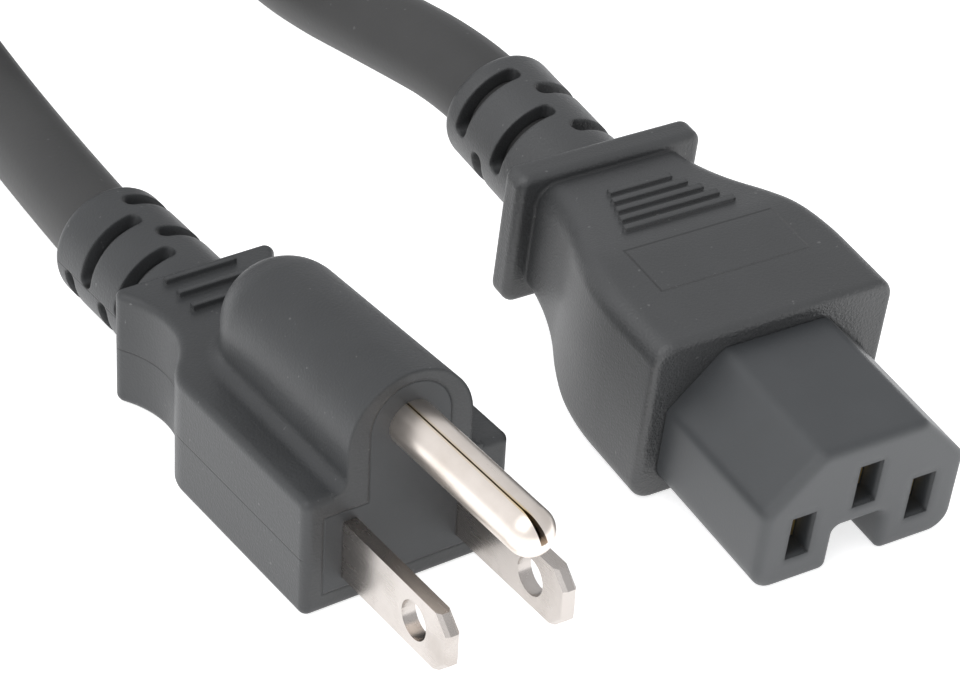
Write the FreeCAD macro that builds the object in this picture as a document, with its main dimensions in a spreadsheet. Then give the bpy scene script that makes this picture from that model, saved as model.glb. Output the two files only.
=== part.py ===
"""A grounded two-blade mains plug on its moulded cord, with the appliance connector at the far end.

Millimetres. The plug lies flat with its blades towards -Y and its ground pin uppermost, and the origin
is under the middle of the plug. Each end is drawn in its own axes first: X to the right, Y back along
the cord, Z up, with the cord's axis at X = Z = 0 and Y = 0 at the blade face or at the nose's front.
"""

import FreeCAD, Part
import math
import os

import Sketcher
from FreeCAD import Vector

SIZES = {
    # Cord and conductors, the same at both ends.
    "cord_diameter": 9.4,
    "insulation_diameter": 2.8,
    "strand_diameter": 1.6,
    "conductor_spacing": 3.8,
    "ground_conductor_rise": 2.4,
    "barrel_diameter": 3.2,
    "barrel_length": 5.0,
    "barrel_floor": 1.0,
    "wire_lead": 2.0,
    "ground_wire_lead": 12.0,
    # Slotted strain relief, the same pattern at both ends.
    "slot_width": 2.0,
    "slot_end_radius": 0.9,
    "relief_rounding": 1.2,
    "relief_root": 2.0,
    "slot_overcut": 0.5,
    # Plug body: a waisted slab with a dome over the ground pin.
    "plug_width": 22.5,
    "plug_thickness": 13.0,
    "plug_body_length": 40.0,
    "plug_shoulder_radius": 5.0,
    "plug_sweep_length": 10.5,
    "plug_waist_width": 14.2,
    "plug_flange_width": 17.8,
    "plug_flange_land": 1.3,
    "plug_corner_radius": 0.9,
    "plug_edge_radius": 0.8,
    "dome_width": 13.6,
    "dome_shoulder_height": 10.6,
    "dome_length": 21.6,
    "dome_taper": 0.3,
    "dome_drop": 0.45,
    "dome_foot_radius": 1.4,
    "plug_rib_length": 8.0,
    "plug_rib_width": 0.7,
    "plug_rib_height": 0.6,
    "plug_rib_pitch": 2.65,
    "plug_last_rib_inset": 1.8,
    "plug_relief_diameter": 12.9,
    "plug_relief_length": 17.2,
    "plug_slot_pitch": 3.45,
    "plug_first_slot": 2.3,
    "plug_cord_end_inset": 1.0,
    # Blades, ground pin and the insert that holds them.
    "blade_spacing": 12.7,
    "blade_width": 6.35,
    "blade_thickness": 1.5,
    "blade_reach": 17.4,
    "blade_corner_length": 1.55,
    "blade_corner_width": 1.5,
    "blade_bevel": 0.35,
    "blade_hole_diameter": 4.0,
    "blade_hole_reach": 12.0,
    "blade_root": 4.0,
    "blade_tail_width": 4.0,
    "terminal_depth": 9.0,
    "pin_diameter": 4.8,
    "pin_tail_diameter": 4.2,
    "pin_reach": 21.2,
    "pin_height": 11.9,
    "pin_wall": 0.9,
    "pin_seam_gap": 0.16,
    "pin_tip_gap": 0.8,
    "pin_tip_split": 2.7,
    "pin_seam_turn": -15.0,
    "bridge_depth": 7.5,
    "bridge_width": 18.4,
    "bridge_height": 8.8,
    "bridge_stem_width": 8.8,
    # Connector nose with its three slots and key notch.
    "nose_width": 23.2,
    "nose_length": 17.0,
    "nose_root": 6.0,
    "nose_top": 7.5,
    "nose_bottom": 7.85,
    "nose_flat_width": 12.0,
    "nose_chamfer_drop": 5.9,
    "nose_corner_radius": 2.4,
    "nose_ridge_radius": 0.9,
    "nose_edge_radius": 0.7,
    "notch_width": 5.8,
    "notch_depth": 5.2,
    "notch_radius": 0.8,
    "slot_opening_width": 2.75,
    "slot_opening_height": 5.2,
    "slot_opening_depth": 15.5,
    "contact_spacing": 14.0,
    "contact_drop": 2.05,
    "earth_contact_rise": 1.95,
    "contact_height": 4.8,
    "contact_width": 2.5,
    "contact_sheet": 0.4,
    "contact_setback": 2.5,
    "contact_neck_diameter": 2.0,
    "contact_neck_length": 2.5,
    # Connector body, flange and relief.
    "connector_width": 28.0,
    "connector_height": 19.5,
    "connector_side_end": 25.0,
    "connector_shoulder_radius": 26.0,
    "connector_waist_width": 17.6,
    "connector_slope_start": 31.5,
    "connector_rear_height": 13.6,
    "connector_body_end": 46.5,
    "connector_slope_blend": 16.0,
    "connector_edge_radius": 2.4,
    "connector_front_radius": 0.8,
    "flange_width": 22.0,
    "flange_height": 16.0,
    "flange_thickness": 3.2,
    "flange_corner_radius": 1.4,
    "flange_edge_radius": 0.9,
    "connector_rib_width": 0.7,
    "connector_rib_height": 0.45,
    "connector_rib_pitch": 1.75,
    "connector_first_rib": 34.6,
    "connector_long_rib": 13.0,
    "connector_short_rib": 7.4,
    "connector_relief_diameter": 13.0,
    "connector_relief_length": 18.7,
    "connector_slot_pitch": 3.5,
    "connector_first_slot": 3.6,
    "connector_cord_end_inset": 2.0,
    # Where the connector lies beside the plug.
    "connector_x": 38.6,
    "connector_y": -37.7,
    "connector_yaw": -2.9,
    # Hank of the cord's spare length, two turns wide and three high, lying behind both ends.
    "hank_x": 36.0,
    "hank_near_end": 103.0,
    "hank_straight": 33.0,
    "hank_columns": 2,
    "hank_layers": 3,
    "hank_inner_radius": 28.2,
    "hank_edge_radius": 4.2,
    "tie_thickness": 1.2,
    "tie_width": 14.0,
}

PLUG_RIBS = 3
CONNECTOR_RIBS = 5
RELIEF_RINGS = 4

# The sleeve's seam is turned away from the ends of its slots.
SEAM_TURN = 45

# Points of the cord between each end's straight lead and its hank.
CORD_LEAD = 17.0
PLUG_RUN = [(3.6, 76.0, 6.3), (7.0, 96.0, 6.1), (6.0, 116.0, 5.9), (0.6, 137.0, 5.9), (-1.6, 152.0, 5.9)]
CONNECTOR_RUN = [(44.4, 68.0, 15.6), (50.5, 87.0, 14.9), (60.0, 105.5, 15.0), (66.0, 120.5, 15.2),
                 (71.5, 136.0, 15.3), (73.6, 151.0, 15.3)]
ARC_SHARE = 0.45

# Two places nearer than this are the same place.
SAME_PLACE = 1e-4

doc = FreeCAD.newDocument("type_b_plug")
sheet = doc.addObject("Spreadsheet::Sheet", "Sizes")
for row, (alias, value) in enumerate(SIZES.items(), start=1):
    sheet.set(f"A{row}", alias)
    sheet.set(f"B{row}", str(value))
    sheet.setAlias(f"B{row}", alias)
doc.recompute()


class Size:
    """A length held both as an expression on the sheet and as the number it gives."""

    def __init__(self, text, value):
        self.text = text
        self.value = value

    def joined(self, sign, other, value):
        return Size(f"({self.text} {sign} {as_size(other).text})", value)

    def __add__(self, other):
        return self.joined("+", other, self.value + as_size(other).value)

    def __sub__(self, other):
        return self.joined("-", other, self.value - as_size(other).value)

    def __mul__(self, other):
        return self.joined("*", other, self.value * as_size(other).value)

    def __truediv__(self, other):
        return self.joined("/", other, self.value / as_size(other).value)

    def __neg__(self):
        return self * -1


def as_size(number):
    if isinstance(number, Size):
        return number
    return Size(f"({number})", number)


def size(alias):
    return Size(f"Sizes.{alias}", SIZES[alias])


def root_of(length):
    return Size(f"sqrt({length.text})", math.sqrt(length.value))


def slope_angle(slope):
    return Size(f"atan({slope.text})", math.degrees(math.atan(slope.value)))


def bind(thing, path, length):
    thing.setExpression(path, as_size(length).text)


# Sketching: an outline is a list of corners, and a corner may name the arc that leads to it.


def new_body(name):
    return doc.addObject("PartDesign::Body", name)


def new_sketch(body, plane, offset=0, across=0):
    """A sketch on one of the body's own origin planes, moved along that plane's normal and across it."""
    sketch = body.newObject("Sketcher::SketchObject", f"{body.Name}_sketch")
    support = next(f for f in body.Origin.OriginFeatures if f.Role == plane)
    sketch.AttachmentSupport = (support, [""])
    sketch.MapMode = "FlatFace"
    bind(sketch, "AttachmentOffset.Base.x", across)
    bind(sketch, "AttachmentOffset.Base.z", offset)
    return sketch


def arc_between(start, end, radius, turn):
    """The arc shorter than half a circle from start to end, turning left (1) or right (-1)."""
    chord = end - start
    middle = (start + end) * 0.5
    left = Vector(-chord.y, chord.x, 0).normalize()
    height = math.sqrt(max(radius**2 - chord.Length**2 / 4, 0))
    centre = middle + left * turn * height
    first, last = (start, end) if turn > 0 else (end, start)
    angles = [math.atan2(spot.y - centre.y, spot.x - centre.x) for spot in (first, last)]
    return Part.ArcOfCircle(Part.Circle(centre, Vector(0, 0, 1), radius), *angles)


def pin_point(sketch, line, end, corner):
    for kind, length in (("DistanceX", corner[0]), ("DistanceY", corner[1])):
        length = as_size(length)
        index = sketch.addConstraint(Sketcher.Constraint(kind, -1, 1, line, end, float(length.value)))
        bind(sketch, f"Constraints[{index}]", length)


def draw(sketch, corners, closed=True):
    """Lines and arcs through corners (x, y) or (x, y, radius, turn), every corner held by two sizes."""
    spots = [Vector(as_size(c[0]).value, as_size(c[1]).value, 0) for c in corners]
    first = 0 if closed else 1
    ends = []
    for k in range(first, len(corners)):
        corner = corners[k]
        if len(corner) == 2:
            edge = Part.LineSegment(spots[k - 1], spots[k])
        else:
            edge = arc_between(spots[k - 1], spots[k], as_size(corner[2]).value, corner[3])
        line = sketch.addGeometry(edge)
        forward = (sketch.Geometry[line].StartPoint - spots[k - 1]).Length < SAME_PLACE
        ends.append((line, (1, 2) if forward else (2, 1)))
        if len(corner) > 2:
            index = sketch.addConstraint(Sketcher.Constraint("Radius", line, as_size(corner[2]).value))
            bind(sketch, f"Constraints[{index}]", corner[2])
    for (line, (_, last)), corner in zip(ends, corners[first:]):
        pin_point(sketch, line, last, corner)
    if not closed:
        pin_point(sketch, ends[0][0], ends[0][1][0], corners[0])
    for k in range(first, len(ends)):
        (before, (_, last)), (after, (start, _)) = ends[k - 1], ends[k]
        sketch.addConstraint(Sketcher.Constraint("Coincident", before, last, after, start))


def draw_circle(sketch, centre, diameter):
    spot = Vector(as_size(centre[0]).value, as_size(centre[1]).value, 0)
    line = sketch.addGeometry(Part.Circle(spot, Vector(0, 0, 1), diameter.value / 2))
    pin_point(sketch, line, 3, centre)
    index = sketch.addConstraint(Sketcher.Constraint("Diameter", line, diameter.value))
    bind(sketch, f"Constraints[{index}]", diameter)


def draw_box(sketch, left, right, low, high):
    draw(sketch, [(left, low), (right, low), (right, high), (left, high)])


def rounded_box(sketch, width, height, radius):
    x, y = width / 2, height / 2
    draw(sketch, [
        (-x + radius, -y, radius, 1), (x - radius, -y), (x, -y + radius, radius, 1), (x, y - radius),
        (x - radius, y, radius, 1), (-x + radius, y), (-x, y - radius, radius, 1), (-x, -y + radius),
    ])


# Features.


def pad(sketch, length, side="One side", backwards=False, kind="Pad"):
    body = sketch.getParentGeoFeatureGroup()
    feature = body.newObject(f"PartDesign::{kind}", f"{body.Name}_{kind.lower()}")
    feature.Profile = sketch
    feature.SideType = side
    feature.Reversed = backwards
    bind(feature, "Length", length)
    doc.recompute()
    return feature


def pocket(sketch, length, side="One side", backwards=False):
    body = sketch.getParentGeoFeatureGroup()
    before = body.Shape.Volume
    feature = pad(sketch, length, side, backwards, kind="Pocket")
    if body.Shape.Volume >= before:
        raise RuntimeError(f"{feature.Name} cuts nothing")
    return feature


def turned(sketch, kind="Revolution", angle=360, backwards=False):
    """Turn a profile about its sketch's upright axis, to add or, as a groove, to cut."""
    body = sketch.getParentGeoFeatureGroup()
    feature = body.newObject(f"PartDesign::{kind}", f"{body.Name}_{kind.lower()}")
    feature.Profile = sketch
    feature.ReferenceAxis = (sketch, ["V_Axis"])
    feature.Angle = angle
    feature.Reversed = backwards
    doc.recompute()
    return feature


def round_edges(body, radius, chosen, kind="Fillet"):
    """Round, or chamfer, the edges of the body's last feature that the test picks."""
    last = body.Tip
    names = [f"Edge{k}" for k, edge in enumerate(last.Shape.Edges, start=1) if chosen(edge.BoundBox)]
    feature = body.newObject(f"PartDesign::{kind}", f"{body.Name}_{kind.lower()}")
    feature.Base = (last, names)
    bind(feature, "Radius" if kind == "Fillet" else "Size", radius)
    doc.recompute()
    return feature


def flat_at(box, axis, value):
    """Whether an edge lies in the plane where the given axis has the given value."""
    low, high = getattr(box, f"{axis}Min"), getattr(box, f"{axis}Max")
    return abs(low - value) < SAME_PLACE and abs(high - value) < SAME_PLACE


# Where each end lies.

plug_length = size("plug_body_length") + size("plug_relief_length")
plug_face_y = (size("pin_reach") - plug_length) / 2
nose_slope = (size("connector_height") / 2 - size("nose_bottom")) / size("nose_length")
nose_tilt = slope_angle(nose_slope)
connector_z = size("nose_bottom") / root_of(nose_slope * nose_slope + 1)
connector_length = size("connector_body_end") + size("flange_thickness") + size("connector_relief_length")


def place_in_plug(piece, x=0, height=0):
    bind(piece, "Placement.Base.x", x)
    bind(piece, "Placement.Base.y", plug_face_y)
    bind(piece, "Placement.Base.z", size("plug_thickness") / 2 + height)


def place_in_connector(piece):
    """The connector rests on its nose's front edge and its body's, so its cord end is raised."""
    bind(piece, "Placement.Base.x", size("connector_x"))
    bind(piece, "Placement.Base.y", size("connector_y"))
    bind(piece, "Placement.Base.z", connector_z)
    bind(piece, "Placement.Rotation.Yaw", size("connector_yaw"))
    bind(piece, "Placement.Rotation.Roll", nose_tilt)


parts = {}


def sub_part(piece, label):
    piece.Label = label
    parts[label] = piece
    return piece


def cut_out(form, pieces, label):
    """The form with room made for the pieces that are moulded or seated in it."""
    tools = doc.addObject("Part::MultiFuse", f"{label}_contents")
    tools.Shapes = pieces
    cut = doc.addObject("Part::Cut", f"{label}_cut")
    cut.Base = form
    cut.Tool = tools
    return sub_part(cut, label)


# Shared by both ends: waisted sides, ribs, strain relief, jacket end and conductors.


def waisted_side(width, waist_width, run, shoulder_radius):
    """A side that sweeps in to its waist, over the given run, by two tangent arcs.

    Returns where the arcs meet, across and along from the sweep's start, and the hollow one's radius."""
    step = (width - waist_width) / 2
    both = (step * step + run * run) / (step * 2)
    share = shoulder_radius / both
    meet_x = width / 2 - shoulder_radius + (both - step) * share
    return meet_x, run * share, both - shoulder_radius


def strain_relief(body, start, length, diameter, first_slot, pitch, odd_rings_up):
    """A sleeve round the cord, cut by rings of quarter slots that take turns about its axis."""
    outer = diameter / 2
    end = start + length
    rounding = size("relief_rounding")
    profile = new_sketch(body, "XY_Plane")
    profile.AttachmentOffset = FreeCAD.Placement(Vector(), FreeCAD.Rotation(Vector(0, 1, 0), SEAM_TURN))
    draw(profile, [
        (0, start - size("relief_root")), (outer, start - size("relief_root")), (outer, end - rounding),
        (outer - rounding, end, rounding, 1), (0, end),
    ])
    turned(profile)
    for parity in (0, 1):
        slots = new_sketch(body, "XY_Plane")
        for ring in range(parity, RELIEF_RINGS, 2):
            low = start + first_slot + pitch * ring
            inner = size("cord_diameter") / 2 - size("slot_overcut")
            draw_box(slots, inner, outer + size("slot_overcut"), low, low + size("slot_width"))
        quarter = turned(slots, "Groove", angle=90, backwards=(parity == 1) == odd_rings_up)
        pair = body.newObject("PartDesign::PolarPattern", f"{body.Name}_slots")
        pair.Originals = [quarter]
        pair.Axis = (slots, ["V_Axis"])
        pair.Angle = 360
        pair.Occurrences = 2
        body.Tip = pair
        doc.recompute()

    def slot_corner(box):
        beyond_start = box.YMin > (start + first_slot).value - SAME_PLACE
        before_end = box.YMax < (end - rounding).value
        upright, level = flat_at(box, "X", 0), flat_at(box, "Z", 0)
        return beyond_start and before_end and box.YLength < SAME_PLACE and (upright or level)

    round_edges(body, size("slot_end_radius"), slot_corner)


def jacket_end(label, front, back):
    """The last of the cord's jacket, gripped by the relief."""
    body = new_body(label)
    outline = new_sketch(body, "XZ_Plane", -front)
    draw_circle(outline, (0, 0), size("cord_diameter"))
    pad(outline, back - front, backwards=True)
    return sub_part(body, label)


def conductor(name, place, plane, level, near, far, terminal, back, back_lead):
    """A wire's strands and insulation, from a crimped terminal to the jacket's end.

    It bends in one plane by two equal arcs; near and far are its distances from the cord's axis at the
    jacket and at the terminal, and back_lead is its straight run out of the jacket."""
    barrel_end = terminal + size("barrel_length")
    layers = {
        "strands": (terminal + size("barrel_floor"), size("strand_diameter"), None),
        "insulation": (barrel_end, size("insulation_diameter"), size("strand_diameter")),
    }
    flat = plane == "XY_Plane"
    made = []
    for layer, (front, outer, bore) in layers.items():
        label = f"{name}_{layer}"
        body = new_body(label)
        route = [(near, back)]
        if near.value != far.value:
            shift = far - near
            bend_front, bend_back = barrel_end + size("wire_lead"), back - back_lead
            run = bend_back - bend_front
            radius = (run * run + shift * shift) / root_of(shift * shift) / 4
            turn = 1 if (shift.value > 0) == flat else -1
            route += [
                (near, bend_back),
                ((near + far) / 2, (bend_back + bend_front) / 2, radius, turn),
                (far, bend_front, radius, -turn),
            ]
        route += [(far, front)]
        if not flat:
            route = [(along, aside, *arc) for aside, along, *arc in route]
        spine = new_sketch(body, plane, level)
        draw(spine, route, closed=False)
        profile = new_sketch(body, "XZ_Plane", -back)
        centre = (near, level) if flat else (level, near)
        draw_circle(profile, centre, outer)
        if bore:
            draw_circle(profile, centre, bore)
        doc.recompute()
        pipe = body.newObject("PartDesign::AdditivePipe", f"{label}_pipe")
        pipe.Profile = profile
        pipe.Spine = (spine, [f"Edge{k + 1}" for k in range(len(spine.Shape.Edges))])
        doc.recompute()
        place(body)
        made.append(sub_part(body, label))
    return made


def crimp_barrel(body, terminal, level=0, across=0, neck=None):
    """A cup that grips the strands, on a neck (start, radius) where the terminal has one."""
    barrel = size("barrel_diameter") / 2
    bore = size("strand_diameter") / 2
    floor = terminal + size("barrel_floor")
    end = terminal + size("barrel_length")
    foot = [(0, terminal), (barrel, terminal)]
    if neck:
        start, radius = neck
        foot = [(0, start), (radius, start), (radius, terminal), (barrel, terminal)]
    cup = new_sketch(body, "XY_Plane", level, across)
    draw(cup, foot + [(barrel, end), (bore, end), (bore, floor), (0, floor)])
    turned(cup)


# Plug.


def blade(label, side):
    """A flat blade with clipped tip corners and a hole, and its crimped tail in the body."""
    body = new_body(label)
    half, tail = size("blade_width") / 2, size("blade_tail_width") / 2
    tip, root = -size("blade_reach"), size("blade_root")
    clip, clip_width = tip + size("blade_corner_length"), half - size("blade_corner_width")
    terminal = size("terminal_depth")
    end = terminal + size("barrel_floor") / 2
    outline = new_sketch(body, "YZ_Plane")
    draw(outline, [
        (tip, clip_width), (tip, -clip_width), (clip, -half), (root, -half), (root, -tail), (end, -tail),
        (end, tail), (root, tail), (root, half), (clip, half),
    ])
    draw_circle(outline, (-size("blade_hole_reach"), 0), size("blade_hole_diameter"))
    pad(outline, size("blade_thickness"), "Symmetric")
    face = size("blade_thickness").value / 2
    round_edges(
        body, size("blade_bevel"),
        lambda box: box.YMax < clip.value + SAME_PLACE
        and (flat_at(box, "X", face) or flat_at(box, "X", -face)),
        "Chamfer",
    )
    crimp_barrel(body, terminal)
    place_in_plug(body, x=size("blade_spacing") / 2 * side)
    return sub_part(body, label)


def ground_pin(label):
    """A pin rolled from sheet: hollow, with an open seam that widens over its rounded nose."""
    body = new_body(label)
    radius = size("pin_diameter") / 2
    inner = radius - size("pin_wall")
    tip, terminal = -size("pin_reach"), size("terminal_depth")
    skin = new_sketch(body, "XY_Plane")
    tail = size("pin_tail_diameter") / 2
    draw(skin, [
        (0, tip), (radius, tip + radius, radius, 1), (radius, 0), (tail, 0), (tail, terminal), (0, terminal),
    ])
    turned(skin)
    hollow = new_sketch(body, "XY_Plane")
    nose = tip + radius
    draw(hollow, [(0, nose - inner), (inner, nose, inner, 1), (inner, 0), (0, 0)])
    turned(hollow, "Groove")
    seam = new_sketch(body, "XY_Plane")
    gap, tip_gap = size("pin_seam_gap") / 2, size("pin_tip_gap") / 2
    split, past = tip + size("pin_tip_split"), tip - size("slot_overcut")
    draw(seam, [(-gap, split), (-tip_gap, past), (tip_gap, past), (gap, split), (gap, 0), (-gap, 0)])
    pocket(seam, radius + size("slot_overcut"), backwards=True)
    crimp_barrel(body, terminal)
    place_in_plug(body, height=size("pin_height"))
    bind(body, "Placement.Rotation.Pitch", size("pin_seam_turn"))
    return sub_part(body, label)


def bridge_form():
    """The insert that holds blades and pin apart while the body is moulded over it."""
    body = new_body("bridge_form")
    wide, high = size("bridge_width") / 2, size("bridge_height") / 2
    stem, pin = size("bridge_stem_width") / 2, size("pin_height")
    outline = new_sketch(body, "XZ_Plane")
    draw(outline, [
        (-wide, -high), (wide, -high), (wide, high), (stem, high), (stem, pin), (0, pin + stem, stem, 1),
        (-stem, pin, stem, 1), (-stem, high), (-wide, high),
    ])
    pad(outline, size("bridge_depth"), backwards=True)
    place_in_plug(body)
    return body


def rib(body, middle, length, width, top):
    """A finger rib across the body, raised to the given height."""
    outline = new_sketch(body, "XY_Plane")
    draw_box(outline, -length / 2, length / 2, middle - width / 2, middle + width / 2)
    pad(outline, top)


def dome_right(top, radius, shoulder_height):
    """The right half of the dome's section, from its foot on the slab to its crown."""
    foot = size("dome_foot_radius")
    return [
        (radius + foot, 0), (radius + foot, top), (radius, top + foot, foot, -1), (radius, shoulder_height),
        (0, shoulder_height + radius, radius, 1),
    ]


def dome_left(top, radius, shoulder_height):
    """The left half of the same section, from its crown down to the slab."""
    foot = size("dome_foot_radius")
    return [
        (-radius, shoulder_height, radius, 1), (-radius, top + foot), (-radius - foot, top, foot, -1),
        (-radius - foot, 0),
    ]


def plug_form():
    """The plug's moulded outside: waisted slab, dome, ribs and strain relief."""
    body = new_body("plug_form")
    half, flange = size("plug_width") / 2, size("plug_flange_width") / 2
    back, sweep = size("plug_body_length"), size("plug_sweep_length")
    waist, shoulder = size("plug_waist_width"), size("plug_shoulder_radius")
    meet_x, meet_run, hollow = waisted_side(size("plug_width"), waist, sweep, shoulder)
    flare = hollow - (size("plug_flange_width") - waist) / 2
    flange_at = back - size("plug_flange_land")
    side = flange_at - root_of(hollow * hollow - flare * flare) - sweep
    meet_y = side + meet_run
    plan = new_sketch(body, "XY_Plane")
    draw(plan, [
        (-half, 0), (half, 0), (half, side), (meet_x, meet_y, shoulder, 1), (flange, flange_at, hollow, -1),
        (flange, back), (-flange, back), (-flange, flange_at), (-meet_x, meet_y, hollow, -1),
        (-half, side, shoulder, 1),
    ])
    pad(plan, size("plug_thickness"), "Symmetric")
    top = size("plug_thickness") / 2
    corners = [(half, as_size(0)), (flange, flange_at), (flange, back)]

    def upright_corner(box):
        return any(
            flat_at(box, "Y", y.value) and (flat_at(box, "X", x.value) or flat_at(box, "X", -x.value))
            for x, y in corners
        )

    round_edges(body, size("plug_corner_radius"), upright_corner)
    round_edges(
        body, size("plug_edge_radius"),
        lambda box: flat_at(box, "Z", top.value) or flat_at(box, "Z", -top.value),
    )

    dome, shoulder_height = size("dome_width") / 2, size("dome_shoulder_height")
    rear_dome, rear_height = dome - size("dome_taper"), shoulder_height - size("dome_drop")
    length = size("dome_length")
    front = new_sketch(body, "XZ_Plane")
    draw(front, dome_right(top, dome, shoulder_height) + dome_left(top, dome, shoulder_height))
    rear = new_sketch(body, "XZ_Plane", -length)
    draw(rear, dome_right(top, rear_dome, rear_height) + dome_left(top, rear_dome, rear_height))
    doc.recompute()
    taper = body.newObject("PartDesign::AdditiveLoft", "plug_dome")
    taper.Profile = front
    taper.Sections = [rear]
    taper.Ruled = True
    doc.recompute()
    end = new_sketch(body, "XZ_Plane", -length)
    draw(end, [(0, 0)] + dome_right(top, rear_dome, rear_height))
    turned(end)

    for k in range(PLUG_RIBS):
        middle = back - size("plug_last_rib_inset") - size("plug_rib_pitch") * k
        rib(body, middle, size("plug_rib_length"), size("plug_rib_width"), top + size("plug_rib_height"))
    strain_relief(
        body, back, size("plug_relief_length"), size("plug_relief_diameter"), size("plug_first_slot"),
        size("plug_slot_pitch"), odd_rings_up=True,
    )
    place_in_plug(body)
    return body


neutral_blade = blade("neutral_blade", -1)
line_blade = blade("line_blade", 1)
earth_pin = ground_pin("ground_pin")
metal = [neutral_blade, line_blade, earth_pin]
plug_bridge = cut_out(bridge_form(), metal, "plug_bridge")
plug_jacket_front = size("plug_body_length") + size("plug_cord_end_inset")
plug_cord_end = jacket_end("plug_cord_end", plug_jacket_front, plug_length)
place_in_plug(plug_cord_end)

spread, terminal_depth = size("conductor_spacing") / 2, size("terminal_depth")
plug_wires = []
for name, plane, near, far, lead in (
    ("plug_neutral", "XY_Plane", -spread, -size("blade_spacing") / 2, size("wire_lead")),
    ("plug_line", "XY_Plane", spread, size("blade_spacing") / 2, size("wire_lead")),
    ("plug_ground", "YZ_Plane", size("ground_conductor_rise"), size("pin_height"), size("ground_wire_lead")),
):
    plug_wires += conductor(
        name, place_in_plug, plane, as_size(0), near, far, terminal_depth, plug_jacket_front, lead
    )
cut_out(plug_form(), [plug_bridge, *metal, plug_cord_end, *plug_wires], "plug_overmould")


# Connector.


def contact(label, across, level):
    """A folded spring contact, set back in its slot, with a neck and crimped tail."""
    body = new_body(label)
    half, sheet_thickness = size("contact_width") / 2, size("contact_sheet")
    front, back = size("contact_setback"), size("slot_opening_depth")
    fold = new_sketch(body, "XY_Plane", level, across)
    draw(fold, [
        (-half, front), (-half + sheet_thickness, front), (-half + sheet_thickness, back - sheet_thickness),
        (half - sheet_thickness, back - sheet_thickness), (half - sheet_thickness, front), (half, front),
        (half, back), (-half, back),
    ])
    pad(fold, size("contact_height"), "Symmetric")
    neck = (back - sheet_thickness / 2, size("contact_neck_diameter") / 2)
    crimp_barrel(body, contact_terminal, level, across, neck)
    place_in_connector(body)
    return sub_part(body, label)


def nose_form():
    """The contact carrier: chamfered at the top, notched below, with one slot for each contact."""
    body = new_body("nose_form")
    half, flat = size("nose_width") / 2, size("nose_flat_width") / 2
    top, low = size("nose_top"), -size("nose_bottom")
    corner, notch = size("nose_corner_radius"), size("notch_width") / 2
    small, notch_top = size("notch_radius"), low + size("notch_depth")
    section = new_sketch(body, "XZ_Plane")
    draw(section, [
        (-half + corner, low, corner, 1), (-notch, low), (-notch, notch_top - small),
        (-notch + small, notch_top, small, -1), (notch - small, notch_top),
        (notch, notch_top - small, small, -1), (notch, low), (half - corner, low),
        (half, low + corner, corner, 1), (half, top - size("nose_chamfer_drop")), (flat, top), (-flat, top),
        (-half, top - size("nose_chamfer_drop")), (-half, low + corner),
    ])
    pad(section, size("nose_length") + size("nose_root"), backwards=True)
    ridges = [(flat, top), (half, top - size("nose_chamfer_drop")), (notch, low)]

    def sharp_ridge(box):
        return any(
            flat_at(box, "Z", z.value) and (flat_at(box, "X", x.value) or flat_at(box, "X", -x.value))
            for x, z in ridges
        )

    round_edges(body, size("nose_ridge_radius"), sharp_ridge)
    round_edges(body, size("nose_edge_radius"), lambda box: flat_at(box, "Y", 0))
    openings = new_sketch(body, "XZ_Plane")
    for across, level in slot_places:
        wide, high = size("slot_opening_width") / 2, size("slot_opening_height") / 2
        draw_box(openings, across - wide, across + wide, level - high, level + high)
    pocket(openings, size("slot_opening_depth"))
    place_in_connector(body)
    return body


def connector_form():
    """The connector's moulded outside: flange, waisted body with sloping back, ribs and strain relief."""
    body = new_body("connector_form")
    front, end = size("nose_length"), size("connector_body_end")
    flange = new_sketch(body, "XZ_Plane", -end)
    rounded_box(flange, size("flange_width"), size("flange_height"), size("flange_corner_radius"))
    pad(flange, size("flange_thickness"), backwards=True)
    flange_back = end + size("flange_thickness")
    round_edges(
        body, size("flange_edge_radius"),
        lambda box: flat_at(box, "Y", end.value) or flat_at(box, "Y", flange_back.value),
    )

    half, waist = size("connector_width") / 2, size("connector_waist_width") / 2
    side, shoulder = size("connector_side_end"), size("connector_shoulder_radius")
    meet_x, meet_run, hollow = waisted_side(
        size("connector_width"), size("connector_waist_width"), end - side, shoulder
    )
    meet_y = side + meet_run
    plan = new_sketch(body, "XY_Plane")
    draw(plan, [
        (-half, front), (half, front), (half, side), (meet_x, meet_y, shoulder, 1), (waist, end, hollow, -1),
        (-waist, end), (-meet_x, meet_y, hollow, -1), (-half, side, shoulder, 1),
    ])
    pad(plan, size("connector_height"), "Symmetric")
    high, rear = size("connector_height") / 2, size("connector_rear_height") / 2
    slope_start = size("connector_slope_start")
    slopes = new_sketch(body, "YZ_Plane")
    draw(slopes, [(slope_start, high), (end, rear), (end, high)])
    draw(slopes, [(slope_start, -high), (end, -high), (end, -rear)])
    pocket(slopes, size("connector_width"), "Symmetric")
    round_edges(body, size("connector_slope_blend"), lambda box: flat_at(box, "Y", slope_start.value))

    def long_edge(box):
        inside = front.value - SAME_PLACE < box.YMin and box.YMax < end.value + SAME_PLACE
        one_side = box.ZMin * box.ZMax > SAME_PLACE and box.XMin * box.XMax > SAME_PLACE
        return inside and one_side and box.YLength > SAME_PLACE

    round_edges(body, size("connector_edge_radius"), long_edge)
    round_edges(body, size("connector_front_radius"), lambda box: flat_at(box, "Y", front.value))

    for k in range(CONNECTOR_RIBS):
        middle = size("connector_first_rib") + size("connector_rib_pitch") * k
        deck = high - (high - rear) * (middle - slope_start) / (end - slope_start)
        shorter = (size("connector_long_rib") - size("connector_short_rib")) * k / (CONNECTOR_RIBS - 1)
        length = size("connector_long_rib") - shorter
        rib(body, middle, length, size("connector_rib_width"), deck + size("connector_rib_height"))
    strain_relief(
        body, flange_back, size("connector_relief_length"), size("connector_relief_diameter"),
        size("connector_first_slot"), size("connector_slot_pitch"), odd_rings_up=False,
    )
    place_in_connector(body)
    return body


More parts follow.
